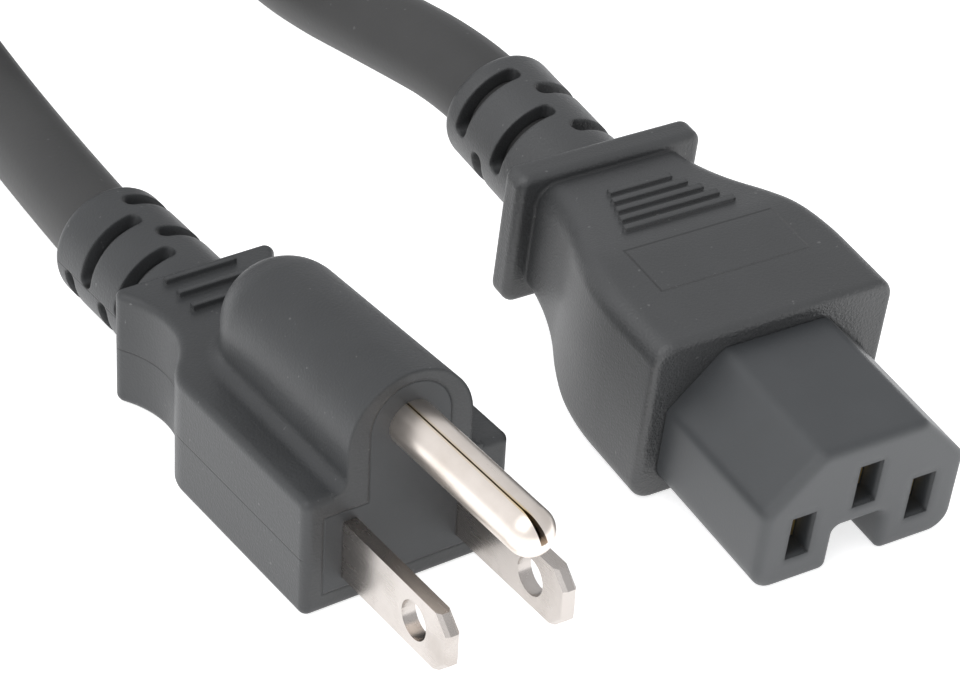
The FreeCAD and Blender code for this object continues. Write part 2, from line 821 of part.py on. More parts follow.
contact_x, contact_z, earth_z = size("contact_spacing") / 2, -size("contact_drop"), size("earth_contact_rise")
slot_places = [(-contact_x, contact_z), (contact_x, contact_z), (as_size(0), earth_z)]
contact_terminal = size("slot_opening_depth") + size("contact_neck_length")
contacts = [
    contact(f"connector_{name}_contact", *place)
    for name, place in zip(("neutral", "line", "earth"), slot_places)
]
connector_jacket_front = size("connector_body_end") - size("connector_cord_end_inset")
connector_cord_end = jacket_end("connector_cord_end", connector_jacket_front, connector_length)
place_in_connector(connector_cord_end)
connector_wires = []
for name, plane, level, near, far in (
    ("connector_neutral", "XY_Plane", contact_z, -spread, -contact_x),
    ("connector_line", "XY_Plane", contact_z, spread, contact_x),
    ("connector_earth", "YZ_Plane", as_size(0), earth_z, earth_z),
):
    connector_wires += conductor(
        name, place_in_connector, plane, level, near, far, contact_terminal, connector_jacket_front,
        size("wire_lead"),
    )
connector_nose = cut_out(nose_form(), [*contacts, *connector_wires], "connector_nose")
cut_out(
    connector_form(), [connector_nose, *contacts, connector_cord_end, *connector_wires],
    "connector_overmould",
)


# Cord between the two ends.


def cord_hank(label):
    """The outer shape of the tied turns: a ring with straight sides and rounded edges."""
    body = new_body(label)
    cord, straight = size("cord_diameter"), size("hank_straight")
    inner = size("hank_inner_radius") - cord / 2
    outer = inner + cord * size("hank_columns")
    plan = new_sketch(body, "XY_Plane")
    for radius in (outer, inner):
        draw(plan, [
            (radius, straight), (0, straight + radius, radius, 1), (-radius, straight, radius, 1),
            (-radius, 0), (0, -radius, radius, 1), (radius, 0, radius, 1),
        ])
    pad(plan, cord * size("hank_layers"))
    round_edges(body, size("hank_edge_radius"), lambda box: box.ZLength < SAME_PLACE)
    bind(body, "Placement.Base.x", size("hank_x"))
    bind(body, "Placement.Base.y", size("hank_near_end") + outer)
    bind(body, "Placement.Base.z", size("tie_thickness"))
    return sub_part(body, label)


def cord_tie(label, side):
    """A strap round one straight side of the hank."""
    body = new_body(label)
    cord, strap = size("cord_diameter"), size("tie_thickness")
    wide, high = cord * size("hank_columns"), cord * size("hank_layers")
    corner = size("hank_edge_radius")
    outline = new_sketch(body, "XZ_Plane")
    rounded_box(outline, wide + strap * 2, high + strap * 2, corner + strap)
    rounded_box(outline, wide, high, corner)
    pad(outline, size("tie_width"), "Symmetric")
    inner = size("hank_inner_radius") - cord / 2
    outer = inner + wide
    bind(body, "Placement.Base.x", size("hank_x") + (inner + wide / 2) * side)
    bind(body, "Placement.Base.y", size("hank_near_end") + outer + size("hank_straight") / 2)
    bind(body, "Placement.Base.z", strap + high / 2)
    return sub_part(body, label)


def cord_tube(label, points, hank):
    """A plain tube along straight runs joined by tangent arcs, ending on the hank."""
    diameter = SIZES["cord_diameter"]
    points = [Vector(*p) for p in points]
    path, radii, at = [], [], points[0]
    for before, corner, after in zip(points, points[1:], points[2:]):
        back, ahead = before - corner, after - corner
        reach = ARC_SHARE * min(back.Length, ahead.Length)
        half_turn = (math.pi - back.getAngle(ahead)) / 2
        radii.append(reach / math.tan(half_turn))
        start = corner + back.normalize() * reach
        end = corner + ahead.normalize() * reach
        inward = (back + ahead).normalize()
        crown = corner + inward * radii[-1] * (1 / math.cos(half_turn) - 1)
        path += [Part.LineSegment(at, start).toShape(), Part.Arc(start, crown, end).toShape()]
        at = end
    path.append(Part.LineSegment(at, points[-1]).toShape())
    wire = Part.Wire(path)
    section = Part.Wire(Part.Circle(points[0], points[1] - points[0], diameter / 2).toShape())
    tube = wire.makePipeShell([section], True, False)
    share = tube.Volume / (math.pi * diameter**2 / 4 * wire.Length)
    length = round(wire.Length, 1)
    print(label, "radii", [round(r) for r in radii], "length", length, "volume", round(share, 4))
    piece = doc.addObject("Part::Feature", label)
    piece.Shape = max(tube.cut(hank.Shape).Solids, key=lambda solid: solid.Volume)
    return sub_part(piece, label)


hank = cord_hank("cord_hank")
cord_tie("cord_tie_left", -1)
cord_tie("cord_tie_right", 1)
doc.recompute()
for label, end_piece, length, run in (
    ("cord_plug_run", plug_cord_end, plug_length, PLUG_RUN),
    ("cord_connector_run", connector_cord_end, connector_length, CONNECTOR_RUN),
):
    exits = [end_piece.Placement.multVec(Vector(0, length.value + lead, 0)) for lead in (0, CORD_LEAD)]
    cord_tube(label, exits + run, hank)


# Check and write.

doc.recompute()
for thing in doc.Objects:
    if "Invalid" in thing.State or "Error" in thing.State:
        raise RuntimeError(f"{thing.Name} failed: {thing.State}")
for label, piece in parts.items():
    if piece.Shape.isNull() or not piece.Shape.isValid() or len(piece.Shape.Solids) != 1:
        raise RuntimeError(f"{label} is not one valid solid")
os.makedirs("parts", exist_ok=True)
for label, piece in parts.items():
    piece.Shape.exportStep(f"parts/{label}.step")
print(len(parts), "pieces written")
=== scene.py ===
# %% [markdown]
# A grounded plug on its moulded cord
#
# The object is a mains cord: a plug with flat blades and a round pin at one end, an appliance connector at
# the other, and the rest of the cord tied up behind them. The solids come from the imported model, already in
# place and in metres, so this lesson only draws the cord and gives every surface its finish. Blades point
# along -Y, +Z is up, and the table is at Z = 0.

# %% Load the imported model
import math

import bpy
from mathutils import Matrix, Vector


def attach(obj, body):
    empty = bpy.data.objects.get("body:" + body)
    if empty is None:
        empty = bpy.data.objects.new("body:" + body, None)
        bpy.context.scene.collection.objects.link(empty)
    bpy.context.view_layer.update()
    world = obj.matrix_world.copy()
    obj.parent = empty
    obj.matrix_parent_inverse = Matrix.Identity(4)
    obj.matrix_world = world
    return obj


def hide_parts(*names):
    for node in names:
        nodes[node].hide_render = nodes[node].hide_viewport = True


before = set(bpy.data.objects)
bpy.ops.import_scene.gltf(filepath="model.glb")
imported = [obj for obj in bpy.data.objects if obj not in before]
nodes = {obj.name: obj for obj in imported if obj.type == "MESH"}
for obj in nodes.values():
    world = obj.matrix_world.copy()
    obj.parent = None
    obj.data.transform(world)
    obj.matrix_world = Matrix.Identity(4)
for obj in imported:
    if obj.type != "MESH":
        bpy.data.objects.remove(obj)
scene = bpy.context.scene
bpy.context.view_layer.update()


# %% [markdown]
# The camera
#
# The plug was photographed from about a third of a metre away through a long lens, looking down on it by 34
# degrees, with the camera tipped a little sideways. A camera could be aimed with a Track To constraint, but
# that leaves no room for the tip, so three plain turns are multiplied: round the object, down to the table,
# and about the line of sight. Lengths on the object are in millimetres, and MM turns them into metres.

# %% Camera
MM = 0.001
PHOTO_WIDTH = 960
LENS_IN_PIXELS = 3500
CAMERA_PLACE = Vector((-147.35, -231.79, 203.32)) * MM
VIEW_ROUND = math.radians(-35.84)
VIEW_DOWN = math.radians(34.01)
VIEW_TIP = math.radians(3.34)
NEAREST_SEEN = 1 * MM

camera = bpy.data.objects.new("camera", bpy.data.cameras.new("camera"))
scene.collection.objects.link(camera)
camera.data.lens = LENS_IN_PIXELS / PHOTO_WIDTH * camera.data.sensor_width
camera.data.clip_start = NEAREST_SEEN
camera.matrix_world = (
    Matrix.Translation(CAMERA_PLACE)
    @ Matrix.Rotation(VIEW_ROUND, 4, "Z")
    @ Matrix.Rotation(math.pi / 2 - VIEW_DOWN, 4, "X")
    @ Matrix.Rotation(VIEW_TIP, 4, "Z")
)
scene.camera = camera
print("lens:", round(camera.data.lens, 2), "mm")

# %% [markdown]
# The cord's route
#
# A stiff three-core cord leaves each end straight, then drifts off in one slow bend. It is one spline, and
# the points of a smooth NURBS spline pull it along without being on it, which is how a cord lies: no corner
# anywhere. The points of both free runs are chosen one by one.

# %% Route of the two free runs
CORD_DIAMETER = 9.4
PLUG_RUN = [
    (0.0, 39.2, 6.5), (0.9, 53.0, 6.5), (3.4, 76.0, 6.3), (6.6, 96.0, 6.1), (6.0, 116.0, 5.9),
    (-0.9, 137.0, 5.9), (-1.6, 152.0, 5.9),
]
CONNECTOR_RUN = [
    (73.6, 151.0, 15.3), (73.4, 137.5, 15.3), (70.3, 123.5, 15.4), (62.5, 110.5, 14.6), (51.5, 99.0, 12.2),
    (42.8, 84.0, 11.0), (40.8, 68.0, 12.2), (41.2, 52.0, 14.6), (42.35, 36.3, 16.08), (42.04, 30.19, 15.4),
]
print("points on the free runs:", len(PLUG_RUN) + len(CONNECTOR_RUN))

# %% [markdown]
# The hank
#
# The spare length is folded for storage: six turns, two wide and three high, in a long ring. A turn keeps to
# its own place in the bundle along both sides and round the far fold, and moves over to the next place only
# in the near fold. There the turns swell apart a little, as crossing strands do. The loop works out each
# fold's points from the ring's radii, a little outside them, because the spline cuts inside its points.

# %% Places in the hank
HANK_MIDDLE = 36.0
NEAR_FOLD = 145.3
FAR_FOLD = 178.3
INNER, OUTER = 28.2, 37.6
LOW, MIDDLE, HIGH = 5.9, 15.3, 24.7
PLACES = [(OUTER, LOW), (INNER, LOW), (INNER, MIDDLE), (INNER, HIGH), (OUTER, HIGH), (OUTER, MIDDLE)]
# How far each move to the next place swells out from the ring and up.
SWELL = [(1.8, -1.2), (-1.0, 0), (-1.0, 0), (0, 2.6), (2.6, 0)]
# In degrees round a fold.
HALF_TURN = 180
FOLD_STEP = 20
SHIFT_START, SHIFT_SPAN = 10, 160


def eased(share):
    """A smooth start and a smooth stop between 0 and 1."""
    share = min(max(share, 0), 1)
    return share * share * (3 - 2 * share)


def near_fold_place(turn):
    """How the radius and height of a turn change on the way round its near fold."""
    (radius, height), (next_radius, next_height) = PLACES[turn], PLACES[turn + 1]
    out, up = SWELL[turn]

    def place_at(degrees):
        moved = eased((degrees - SHIFT_START) / SHIFT_SPAN)
        # 1 half way through the move, and 0 at both its ends.
        swell = 4 * moved * (1 - moved)
        return (
            radius + (next_radius - radius) * moved + out * swell,
            height + (next_height - height) * moved + up * swell,
        )

    return place_at


print("turns in the hank:", len(PLACES))

# %% Route of the hank


def fold(side, along, outward, place_at):
    """Points of half a ring: side is where it starts, 1 right or -1 left, and outward is 1 at the far end
    or -1 at the near one."""
    spread = 1 / math.cos(math.radians(FOLD_STEP / 2))
    points = []
    for degrees in range(FOLD_STEP // 2, HALF_TURN, FOLD_STEP):
        radius, height = place_at(degrees)
        angle = math.radians(degrees)
        across = HANK_MIDDLE + side * radius * spread * math.cos(angle)
        points.append((across, along + outward * radius * spread * math.sin(angle), height))
    return points


hank = []
for turn, (radius, height) in enumerate(PLACES):
    lead = radius * math.tan(math.radians(FOLD_STEP / 2))
    if turn > 0:
        hank.append((HANK_MIDDLE - radius, NEAR_FOLD + lead, height))
    hank.append((HANK_MIDDLE - radius, FAR_FOLD - lead, height))
    hank += fold(-1, FAR_FOLD, 1, lambda degrees, place=(radius, height): place)
    hank.append((HANK_MIDDLE + radius, FAR_FOLD - lead, height))
    if turn < len(PLACES) - 1:
        hank.append((HANK_MIDDLE + radius, NEAR_FOLD + lead, height))
        hank += fold(1, NEAR_FOLD, -1, near_fold_place(turn))
print("points in the hank:", len(hank))

# %% [markdown]
# The cord itself
#
# One curve with a round bevel is the whole cord. It stands for the plain tubes and the ring that the packed
# model holds in its place, and the connector and the straps go with it. The spline's order and end points
# are set after its points, or Blender falls back to straight runs. The thickness is each point's own radius,
# with a bevel of 1, because the curve's box counts that radius.

# %% Cord
SPLINE_ORDER = 3
STEPS_ALONG, STEPS_ROUND = 8, 8


def nurbs_tube(name, points, diameter):
    curve = bpy.data.curves.new(name, "CURVE")
    curve.dimensions = "3D"
    spline = curve.splines.new("NURBS")
    spline.points.add(len(points) - 1)
    for point, place in zip(spline.points, points):
        point.co = (*[c * MM for c in place], 1)
        point.radius = diameter / 2 * MM
    spline.order_u = SPLINE_ORDER
    spline.use_endpoint_u = True
    spline.resolution_u = STEPS_ALONG
    curve.bevel_depth = 1.0
    curve.bevel_resolution = STEPS_ROUND
    tube = bpy.data.objects.new(name, curve)
    scene.collection.objects.link(tube)
    return tube


cord = nurbs_tube("cord", PLUG_RUN + hank + CONNECTOR_RUN, CORD_DIAMETER)
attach(cord, "root")
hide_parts("cord_plug_run", "cord_hank", "cord_connector_run")

# %% [markdown]
# Shader sums
#
# A finish is easier to read as sums than as a list of links. A Flow wraps one output socket, and adding or
# multiplying flows adds the Math nodes behind the scenes. The reflected forms let a number stand first, as
# in 1 - mask.

# %% Flow


class Flow:
    """One output socket that takes part in sums. Each sum adds one Math node to its finish."""

    def __init__(self, finish, socket):
        self.finish = finish
        self.socket = socket

    def sum(self, operation, first, second=0.0):
        return self.finish.node("ShaderNodeMath", {"operation": operation}, {0: first, 1: second})

    def __add__(self, other):
        return self.sum("ADD", self, other)

    def __sub__(self, other):
        return self.sum("SUBTRACT", self, other)

    def __rsub__(self, other):
        return self.sum("SUBTRACT", other, self)

    def __mul__(self, other):
        return self.sum("MULTIPLY", self, other)

    def __truediv__(self, other):
        return self.sum("DIVIDE", self, other)

    def __rtruediv__(self, other):
        return self.sum("DIVIDE", other, self)

    def __abs__(self):
        return self.sum("ABSOLUTE", self)

    __radd__ = __add__
    __rmul__ = __mul__

    def root(self):
        return self.sum("SQRT", self)

    def sine(self):
        return self.sum("SINE", self)

    def lower(self, other):
        return self.sum("MINIMUM", self, other)

    def higher(self, other):
        return self.sum("MAXIMUM", self, other)

    def between(self, low, high):
        """0 at low, 1 at high, and an even slope from one to the other."""
        return self.finish.node(
            "ShaderNodeMapRange", {"clamp": True}, {"Value": self, "From Min": low, "From Max": high}
        )

    def swing(self, spread):
        """Noise from 0 to 1 as a swing about zero, as wide as spread in all."""
        return (self - 0.5) * spread


print("Flow: a sum becomes Math nodes")

# %% [markdown]
# A finish under construction
#
# A Finish is the material being built. Its node method makes any node, sets its settings first, and then
# fills or links its sockets. The other methods are named for what they draw. A Mix node has sockets of the
# same name for every kind of value, so those for colours are called by number.

# %% Finish
MIX_FIRST, MIX_SECOND, MIX_RESULT = 6, 7, 2
EDGE_SAMPLES = 4


class Finish:
    """A material under construction."""

    def __init__(self, name):
        self.material = bpy.data.materials.new(name)
        self.material.use_nodes = True
        self.tree = self.material.node_tree
        self.tree.nodes.clear()

    def node(self, kind, settings=None, sockets=None, output=0):
        made = self.tree.nodes.new(kind)
        for name, value in (settings or {}).items():
            setattr(made, name, value)
        for name, value in (sockets or {}).items():
            if isinstance(value, Flow):
                self.tree.links.new(value.socket, made.inputs[name])
            else:
                made.inputs[name].default_value = value
        return Flow(self, made.outputs[output]) if made.outputs else None

    def place(self):
        """Where a point of the surface is, in metres, in the object's own frame."""
        return self.node("ShaderNodeTexCoord", output="Object")

    def stretched(self, factors):
        """The same place with each axis multiplied, to draw a pattern out along one of them."""
        return self.node("ShaderNodeVectorMath", {"operation": "MULTIPLY"}, {0: self.place(), 1: factors})

    def share_of(self, vector, direction):
        """The part of a vector that points along a direction."""
        return self.node(
            "ShaderNodeVectorMath", {"operation": "DOT_PRODUCT"}, {0: vector, 1: direction}, "Value"
        )

    def along(self, direction, start=(0, 0, 0)):
        """How far a point lies from start along a direction, in millimetres."""
        shift = Vector(start).dot(Vector(direction))
        return self.share_of(self.place(), direction) / MM - shift

    def noise(self, size_mm, detail=2.0, place=None):
        """Cloudy noise from 0 to 1 whose blotches are about size_mm across."""
        return self.node(
            "ShaderNodeTexNoise", None,
            {"Vector": place or self.place(), "Scale": 1 / (size_mm * MM), "Detail": detail},
        )

    def mixed(self, factor, first, second):
        """A colour that goes from the first to the second as the factor goes from 0 to 1."""
        sockets = {"Factor": factor, MIX_FIRST: first, MIX_SECOND: second}
        return self.node("ShaderNodeMix", {"data_type": "RGBA"}, sockets, MIX_RESULT)

    def soft_edges(self, radius_mm):
        """A normal that rounds each edge of the mesh as if it had this radius."""
        return self.node("ShaderNodeBevel", {"samples": EDGE_SAMPLES}, {"Radius": radius_mm * MM})

    def bump(self, height, depth_mm, strength=1.0, under=None):
        """A normal with a relief on it, laid over the normal that is under it."""
        sockets = {"Height": height, "Distance": depth_mm * MM, "Strength": strength}
        if under:
            sockets["Normal"] = under
        return self.node("ShaderNodeBump", None, sockets)

    def surface(self, **sockets):
        """The closing shader. A socket's name has _ for a space."""
        shader = self.node(
            "ShaderNodeBsdfPrincipled", None, {name.replace("_", " "): v for name, v in sockets.items()}
        )
        self.node("ShaderNodeOutputMaterial", None, {"Surface": shader})
        return self.material


print("Finish: rounded edges take", EDGE_SAMPLES, "samples")

# %% [markdown]
# Greys and slots
#
# Most colours here are greys with a slight cast, warm above zero and cool below. The objects of the packed
# model carry their finish in material slots, and keep their mesh as it is.

# %% Greys and slots
ALONG_X, ALONG_Y, ALONG_Z = (1, 0, 0), (0, 1, 0), (0, 0, 1)


def grey(value, warm=0.0):
    return (value * (1 + warm), value, value * (1 - warm), 1)


def dress(material, *names):
    """Give a finish to the objects of the named nodes, in every material slot they have."""
    for name in names:
        for slot in nodes[name].material_slots:
            slot.material = material
    print(material.name, "on", len(names), "nodes,", len(material.node_tree.nodes), "shader nodes")


print("material slots:", sum(len(node.material_slots) for node in nodes.values()))

# %% [markdown]
# Moulded black plastic
#
# Both overmouldings are soft black plastic. The plug's mould is polished and the connector's is etched, so
# the plug is satin smooth and the connector has a fine leathery grain. Handling leaves a few pale specks.
# Fine noise in a Bump node is the cheapest grain, because a real one is far smaller than any face of the
# mesh. Soft plastic also shrinks off a sharp edge as it cools, and a Bevel node rounds the shading of every
# edge for that.

# %% Overmoulding
COOL = -0.04
WEAR = 1.25
CLOUD_MM, CLOUD_BAND = 8.0, (0.3, 0.7)
SPECK_MM, SPECK_BAND, SPECK_SHARE = 0.6, (0.75, 0.79), 0.6
DUST = grey(0.13)
GRAIN_STRENGTH = 0.8
MOULDED_EDGE = 0.5
CLOUD_SWING, GRAIN_SWING = 0.08, 0.1


def moulded_plastic(name, shade, grain_mm, grain_depth, roughness):
    finish = Finish(name)
    grain = finish.noise(grain_mm)
    cloud = finish.noise(CLOUD_MM)
    speck = finish.noise(SPECK_MM, detail=1.0).between(*SPECK_BAND)
    colour = finish.mixed(cloud.between(*CLOUD_BAND), grey(shade, COOL), grey(shade * WEAR, COOL))
    colour = finish.mixed(speck * SPECK_SHARE, colour, DUST)
    rough = roughness + cloud.swing(CLOUD_SWING) + grain.swing(GRAIN_SWING)
    relief = finish.bump(grain, grain_depth, GRAIN_STRENGTH, finish.soft_edges(MOULDED_EDGE))
    return finish, colour, rough, relief


print("overmoulding: specks of", SPECK_MM, "mm, edges rounded to", MOULDED_EDGE, "mm")

# %% [markdown]
# The plug's parting line
#
# The two halves of the plug's mould meet at the height of the cord's axis and leave a hair line along each
# side. It could be cut in the mesh, but a hair is thinner than the mesh's faces, so it is a mask: dark and
# sunk within a tenth of a millimetre of that height, and gone on the blade face, which one half makes alone.

# %% Plug overmoulding
PLUG_AXIS_HEIGHT = 6.5
PLUG_FACE = -18.0
PLUG_GLOSS = 0.50
LINE_DARK = grey(0.010)
LINE_BAND, LINE_START = (0.03, 0.13), (0.3, 0.6)
LINE_SHARE, LINE_DEPTH, LINE_STRENGTH = 0.8, 0.06, 0.6

plug_plastic, colour, rough, relief = moulded_plastic(
    "plug_overmould", shade=0.034, grain_mm=0.28, grain_depth=0.050, roughness=0.44
)
from_joint = abs(plug_plastic.along(ALONG_Z, (0, 0, PLUG_AXIS_HEIGHT)))
behind_face = plug_plastic.along(ALONG_Y, (0, PLUG_FACE, 0))
line = (1 - from_joint.between(*LINE_BAND)) * behind_face.between(*LINE_START)
colour = plug_plastic.mixed(line * LINE_SHARE, colour, LINE_DARK)
relief = plug_plastic.bump(1 - line, LINE_DEPTH, LINE_STRENGTH, relief)
plug_plastic.surface(Base_Color=colour, Normal=relief, Roughness=rough, Specular_IOR_Level=PLUG_GLOSS)
dress(plug_plastic.material, "plug_overmould")

# %% [markdown]
# The connector's own axes
#
# The connector lies on its nose, so its cord end is raised and its axes are tilted. Bands and panels on it
# are measured along those axes: across, back towards the cord, and up from the cord's axis.

# %% Connector axes
CONNECTOR_FRONT = (38.6, -37.7, 7.80)
CONNECTOR_YAW = math.radians(-2.9)
CONNECTOR_HEIGHT = 19.5
NOSE_BOTTOM = 7.85
NOSE_LENGTH = 17.0
CONNECTOR_TILT = math.atan((CONNECTOR_HEIGHT / 2 - NOSE_BOTTOM) / NOSE_LENGTH)

connector_turn = Matrix.Rotation(CONNECTOR_YAW, 3, "Z") @ Matrix.Rotation(CONNECTOR_TILT, 3, "X")
ACROSS, BACK, UP = [tuple(connector_turn.col[k]) for k in range(3)]
print("connector tilt:", round(math.degrees(CONNECTOR_TILT), 2), "degrees")

# %% [markdown]
# The connector's body
#
# Its front ring, round the nose, kept the mould's coarser spark-eroded skin, and a shallow blank panel is
# sunk in its top. A dark line of painted shade frames it, where the panel's step would lie in shadow. The
# panel is a mask: the least of the distances to its four edges is above zero inside it, and near zero on the
# frame.

# %% Connector overmoulding
CONNECTOR_GLOSS = 0.90
PANEL_HALF_WIDTH = 8.7
PANEL_FRONT, PANEL_BACK = 24.5, 31.3
PANEL_EDGE, PANEL_DEPTH = (-0.12, 0.12), 0.16
TOP_BAND = (7.0, 8.0)
PANEL_SHADE_BAND, PANEL_SHADE_SHARE = (0.05, 0.2), 0.55
RING_END = (0.2, 0.7)
RING_GRAIN, RING_DEPTH, RING_STRENGTH, RING_DULL = 0.34, 0.10, 0.9, 0.04

connector_plastic, colour, rough, relief = moulded_plastic(
    "connector_overmould", shade=0.026, grain_mm=0.26, grain_depth=0.075, roughness=0.46
)
back = connector_plastic.along(BACK, CONNECTOR_FRONT)
to_side = PANEL_HALF_WIDTH - abs(connector_plastic.along(ACROSS, CONNECTOR_FRONT))
inside = to_side.lower(back - PANEL_FRONT).lower(PANEL_BACK - back)
on_top = connector_plastic.along(UP, CONNECTOR_FRONT).between(*TOP_BAND)
sunk = inside.between(*PANEL_EDGE) * on_top
# Painted shade: a dark line round the sunk panel, standing in for the shadow in its step.
panel_shade = (1 - abs(inside).between(*PANEL_SHADE_BAND)) * on_top
colour = connector_plastic.mixed(panel_shade * PANEL_SHADE_SHARE, colour, LINE_DARK)
ring = 1 - (back - NOSE_LENGTH).between(*RING_END)
coarse = connector_plastic.noise(RING_GRAIN)
relief = connector_plastic.bump(coarse * ring, RING_DEPTH, RING_STRENGTH, relief)
relief = connector_plastic.bump(1 - sunk, PANEL_DEPTH, under=relief)
rough = rough + ring * RING_DULL
connector_plastic.surface(
    Base_Color=colour, Normal=relief, Roughness=rough, Specular_IOR_Level=CONNECTOR_GLOSS
)
dress(connector_plastic.material, "connector_overmould")

# %% [markdown]
# The nose
#
# The contact carrier and the bridge behind the blades are moulded first, in a harder grade, so they are a
# little smoother and cooler in colour than what is moulded over them. The carrier's ridges are well rounded,
# so its Bevel node has a larger radius.

# %% Nose
NOSE_GLOSS = 0.72
HARD_COOL, HARD_WEAR = -0.07, 1.15
HARD_CLOUD = 6.0
HARD_DEPTH, HARD_STRENGTH = 0.016, 0.7


def hard_plastic(name, shade, grain_mm, roughness, edge_mm):
    finish = Finish(name)
    grain = finish.noise(grain_mm)
    cloud = finish.noise(HARD_CLOUD)
    colour = finish.mixed(
        cloud.between(*CLOUD_BAND), grey(shade, HARD_COOL), grey(shade * HARD_WEAR, HARD_COOL)
    )
    rough = roughness + cloud.swing(CLOUD_SWING)
    relief = finish.bump(grain, HARD_DEPTH, HARD_STRENGTH, finish.soft_edges(edge_mm))
    return finish, colour, rough, relief


nose, colour, rough, relief = hard_plastic(
    "nose", shade=0.042, grain_mm=0.24, roughness=0.42, edge_mm=1.5
)
nose.surface(Base_Color=colour, Roughness=rough, Normal=relief, Specular_IOR_Level=NOSE_GLOSS)
dress(nose.material, "connector_nose")

# %% [markdown]
# The bridge
#
# The bridge's face shows round the blades and the pin. Where the soft plastic laps it there is a thin dark
# seam, drawn by the distance to the edge of its outline: a bar with a round-topped stem.

# %% Bridge
BAR_HALF_WIDTH, BAR_HALF_HEIGHT, STEM_RADIUS, PIN_RISE = 9.2, 4.4, 4.4, 11.9
SEAM_BAND, SEAM_SHARE = (0.04, 0.18), 0.4
SEAM_DEPTH, SEAM_STRENGTH = 0.05, 0.6

bridge, colour, rough, relief = hard_plastic(
    "bridge", shade=0.034, grain_mm=0.22, roughness=0.44, edge_mm=0.3
)
across = abs(bridge.along(ALONG_X))
up = bridge.along(ALONG_Z, (0, 0, PLUG_AXIS_HEIGHT))
over_pin = (up - PIN_RISE).higher(0.0)
in_stem = (STEM_RADIUS - (across * across + over_pin * over_pin).root()).lower(up)
in_bar = (BAR_HALF_WIDTH - across).lower(BAR_HALF_HEIGHT - abs(up))
seam = 1 - in_bar.higher(in_stem).between(*SEAM_BAND)
colour = bridge.mixed(seam * SEAM_SHARE, colour, LINE_DARK)
relief = bridge.bump(1 - seam, SEAM_DEPTH, SEAM_STRENGTH, relief)
bridge.surface(Base_Color=colour, Roughness=rough, Normal=relief)
dress(bridge.material, "plug_bridge")

# %% [markdown]
# Cord jacket
#
# The jacket is the softest plastic here. It is drawn through a die, so it has hardly any grain, only a dull
# bloom and faint marks where it was handled.

# %% Cord jacket
JACKET_DARK, JACKET_PALE = grey(0.036, 0.01), grey(0.047, 0.01)
BLOOM_MM, BLOOM_BAND, BLOOM_SWING = 9.0, (0.3, 0.8), 0.14
MARK_MM, MARK_BAND, MARK_SHARE = 1.1, (0.72, 0.78), 0.5
DRAWN_MM, DRAWN_DEPTH, DRAWN_STRENGTH = 0.5, 0.03, 0.7
JACKET_ROUGHNESS = 0.56

jacket = Finish("cord_jacket")
bloom = jacket.noise(BLOOM_MM, detail=4.0)
drawn = jacket.noise(DRAWN_MM, detail=3.0)
mark = jacket.noise(MARK_MM).between(*MARK_BAND)
colour = jacket.mixed(bloom.between(*BLOOM_BAND), JACKET_DARK, JACKET_PALE)
colour = jacket.mixed(mark * MARK_SHARE, colour, DUST)
jacket.surface(
    Base_Color=colour, Roughness=JACKET_ROUGHNESS + bloom.swing(BLOOM_SWING),
    Normal=jacket.bump(drawn, DRAWN_DEPTH, DRAWN_STRENGTH), Specular_IOR_Level=PLUG_GLOSS,
)
cord.data.materials.append(jacket.material)
dress(jacket.material, "plug_cord_end", "connector_cord_end")
dress(jacket.material, "cord_plug_run", "cord_hank", "cord_connector_run")

# %% [markdown]
# Nickel plate
#
# Blades and pin are brass, plated with nickel. Rolling and blanking leave fine streaks along their length,
# and handling leaves dull patches. The one plate is painted darker on the blades, as painted shade, and
# lighter on the pin, as painted light. The shader's anisotropy could give a brushed look too, but not streaks
# of uneven strength, so the streaks are plain noise, drawn out along Y.

# %% Blades
# Painted shade: the blades' nickel is the same plate as the pin's, painted darker because the blades mirror
# brighter light.
BLADE_PLATE_SHADED = (0.57, 0.53, 0.50, 1)
BLADE_DULL_SHADED = (0.46, 0.42, 0.39, 1)
STREAK_MM, STREAK_DRAW = 0.25, (1, 0.06, 1)
STREAK_DEPTH, STREAK_STRENGTH, STREAK_SWING = 0.003, 0.5, 0.10
PATCH_MM, PATCH_BAND, PATCH_SWING = 4.0, (0.45, 0.8), 0.14


def nickel(name, roughness, bright, dull):
    finish = Finish(name)
    streak = finish.noise(STREAK_MM, detail=3.0, place=finish.stretched(STREAK_DRAW))
    patch = finish.noise(PATCH_MM, detail=4.0)
    colour = finish.mixed(patch.between(*PATCH_BAND), bright, dull)
    rough = roughness + patch.swing(PATCH_SWING) + streak.swing(STREAK_SWING)
    return finish, colour, rough, finish.bump(streak, STREAK_DEPTH, STREAK_STRENGTH)


blade_nickel, colour, rough, relief = nickel(
    "plated_metal", roughness=0.26, bright=BLADE_PLATE_SHADED, dull=BLADE_DULL_SHADED
)
blade_nickel.surface(Base_Color=colour, Metallic=1.0, Roughness=rough, Normal=relief)
dress(blade_nickel.material, "neutral_blade", "line_blade")

# %% [markdown]
# The pin's seam
#
# The pin is rolled from sheet, and its edges meet in a seam along the top, turned a little to one side. The
# bare brass shows there, most of all at the tip. It is one more mask: close to the seam's plane, above the
# pin's axis, and stronger towards the tip.

# %% Pin
# Painted light: the pin's nickel is the same plate as the blades', painted lighter because the pin mirrors
# the dimmer sky.
PIN_PLATE_LIT = (0.90, 0.82, 0.75, 1)
PIN_DULL_LIT = (0.76, 0.68, 0.61, 1)
BRASS = (0.76, 0.55, 0.22, 1)
PIN_HEIGHT = 18.4
PIN_TIP = -39.2
SEAM_TURN = math.radians(15)
SEAM_WAY = (math.cos(SEAM_TURN), 0, math.sin(SEAM_TURN))
SEAM_UP = (-math.sin(SEAM_TURN), 0, math.cos(SEAM_TURN))
BARE_BAND, ABOVE_BAND, TIP_BAND = (0.08, 0.3), (0.5, 1.0), (2.5, 7.0)
BARE_ALONG, BARE_AT_TIP = 0.45, 0.55

